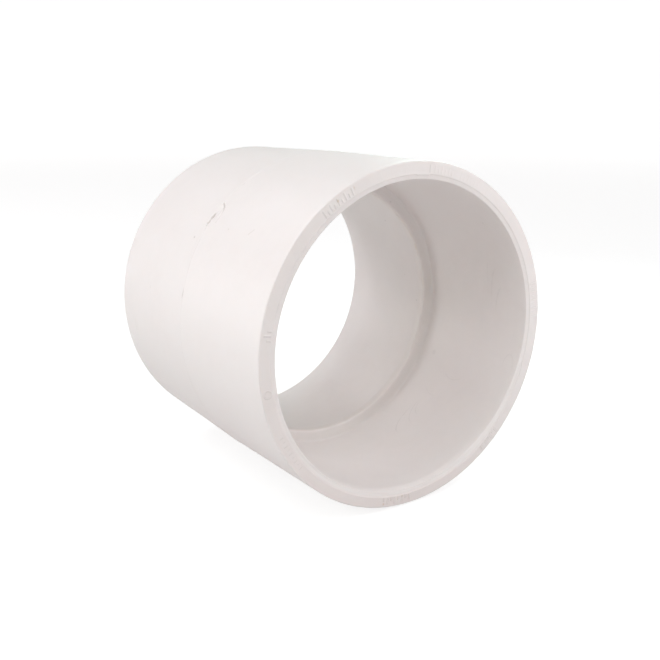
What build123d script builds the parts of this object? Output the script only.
from build123d import *
import math
import os

# Straight slip (socket by socket) coupling, nominal 4 inch, Schedule 40 PVC.
# One injection-moulded body that joins two pipes of 4.500 in (114.3 mm) outside diameter.
# Frame: the fitting lies on its side. +Y runs along the bore, +Z is up, and the origin is the
# middle of the fitting, on the bore's axis. Both ends are the same.

# Driving dimensions, mm
body_length = 118.7          # rim to rim
rim_outer_dia = 127.5        # outside diameter at each rim
middle_outer_dia = 128.9     # outside diameter at the middle: the wall has draft both ways
socket_dia = 114.4           # ASTM D2466 socket: 4.518 in at the mouth, 4.491 in at the bottom, taken as a cylinder
stop_bore_dia = 104.0        # bore of the stop ring between the sockets
stop_width_wall = 5.0        # stop ring, where it meets the socket wall
stop_width_bore = 3.8        # stop ring, at its bore
stop_root_radius = 1.0       # fillet in the bottom corner of each socket
stop_edge_radius = 0.5       # rounding of the stop ring's two edges

lead_in_radial = 0.7         # rounded lead-in at each mouth
lead_in_axial = 2.8
inner_band_dia = 118.2       # the inner band of the rim ends here
inner_band_drop = 0.16       # and lies this much below the outer band
inner_band_slope = 0.25      # radial width of the small step between the bands
outer_edge_radius = 0.5      # rounding of the rim's outer edge

parting_width = 0.8          # fine raised line where the mould halves met
parting_height = 0.12

gate_dia = 10.0              # low disc left where the sprue was cut off
gate_height = 0.25
gate_angle = 312.0           # about +Y, from +Z towards +X
gate_offset = 0.2           # along Y

h = body_length / 2
r_rim = rim_outer_dia / 2
r_mid = middle_outer_dia / 2
r_socket = socket_dia / 2
r_stop = stop_bore_dia / 2
r_band = inner_band_dia / 2
r_mouth = r_socket + lead_in_radial
e = outer_edge_radius

# radius of the drafted outer wall at a distance y from the middle
def wall_radius(y):
    return r_mid + (r_rim - r_mid) * abs(y) / h


def half_section(side):
    """Edges of the section's boundary on one side of the middle, from the bore to the outer wall."""
    def p(r, y):
        return (r, side * y)

    # stop ring: bore, rounded edge, drafted shoulder, root fillet
    yb, yw = stop_width_bore / 2, stop_width_wall / 2
    dx, dy = r_socket - r_stop, yw - yb
    tilt = math.atan2(dy, dx)                      # draft of the shoulder
    t_edge = stop_edge_radius * math.tan((math.pi / 2 - tilt) / 2)
    t_root = stop_root_radius * math.tan((math.pi / 2 + tilt) / 2)
    ux, uy = math.cos(tilt), math.sin(tilt)
    bore_end = p(r_stop, yb - t_edge)
    shoulder_a = p(r_stop + t_edge * ux, yb + t_edge * uy)
    shoulder_b = p(r_socket - t_root * ux, yw - t_root * uy)
    wall_start = p(r_socket, yw + t_root)

    # socket wall and rounded lead-in
    wall_end = p(r_socket, h - lead_in_axial)
    mouth = p(r_mouth, h - inner_band_drop)
    axial = lead_in_axial - inner_band_drop
    big = (axial ** 2 + lead_in_radial ** 2) / (2 * lead_in_radial)
    half = math.asin(axial / big) / 2
    lead_mid = p(r_socket + big * (1 - math.cos(half)), h - lead_in_axial + big * math.sin(half))

    # rim face: inner band, small step, outer band, rounded outer edge
    band = p(r_band, h - inner_band_drop)
    step = p(r_band + inner_band_slope, h)
    face_end = p(r_rim - e, h)
    edge_mid = p(r_rim - e + e * math.sin(math.pi / 4), h - e + e * math.cos(math.pi / 4))
    edge_end = p(wall_radius(h - e), h - e)

    # outer wall up to the parting line at the middle
    bead_foot = p(wall_radius(parting_width / 2), parting_width / 2)
    bead_top = p(r_mid + parting_height, parting_width / 4)

    def arc(a, b, k):
        """Arc from a to b that bulges away from the straight line through k."""
        return ThreePointArc(a, k, b)

    def fillet_mid(a, b, corner, radius):
        m = ((a[0] + b[0]) / 2, (a[1] + b[1]) / 2)
        v = (corner[0] - m[0], corner[1] - m[1])
        n = math.hypot(*v)
        chord = math.hypot(a[0] - b[0], a[1] - b[1]) / 2
        sag = radius - math.sqrt(radius ** 2 - chord ** 2)
        return (m[0] + v[0] / n * sag, m[1] + v[1] / n * sag)

    return [
        Line(p(r_stop, 0), bore_end),
        arc(bore_end, shoulder_a, fillet_mid(bore_end, shoulder_a, p(r_stop, yb), stop_edge_radius)),
        Line(shoulder_a, shoulder_b),
        arc(shoulder_b, wall_start, fillet_mid(shoulder_b, wall_start, p(r_socket, yw), stop_root_radius)),
        Line(wall_start, wall_end),
        arc(wall_end, mouth, lead_mid),
        Line(mouth, band),
        Line(band, step),
        Line(step, face_end),
        arc(face_end, edge_end, edge_mid),
        Line(edge_end, bead_foot),
        Line(bead_foot, bead_top),
        Line(bead_top, p(r_mid + parting_height, 0)),
    ]


section = make_face(Wire(half_section(1) + half_section(-1)))
body = revolve(section, axis=Axis.Y, revolution_arc=360)

# Gate vestige: a low disc on the outer wall, sunk well into it
g = math.radians(gate_angle)
out = Vector(math.sin(g), 0, math.cos(g))
gate_plane = Plane(origin=out * (r_mid - 2) + Vector(0, gate_offset, 0), z_dir=out)
gate = gate_plane * Cylinder(gate_dia / 2, 2 + gate_height,
                             align=(Align.CENTER, Align.CENTER, Align.MIN))
gate = chamfer(gate.edges().sort_by(Axis(gate_plane.origin, out))[-1:], 0.15)
coupling_body = body + gate

os.makedirs("parts", exist_ok=True)
solid = coupling_body.solids()[0]
export_step(solid, "parts/coupling_body.step")
print("coupling_body volume mm3", round(solid.volume, 1), "mass g at 1.4 g/cm3", round(solid.volume * 1.4e-3, 1))
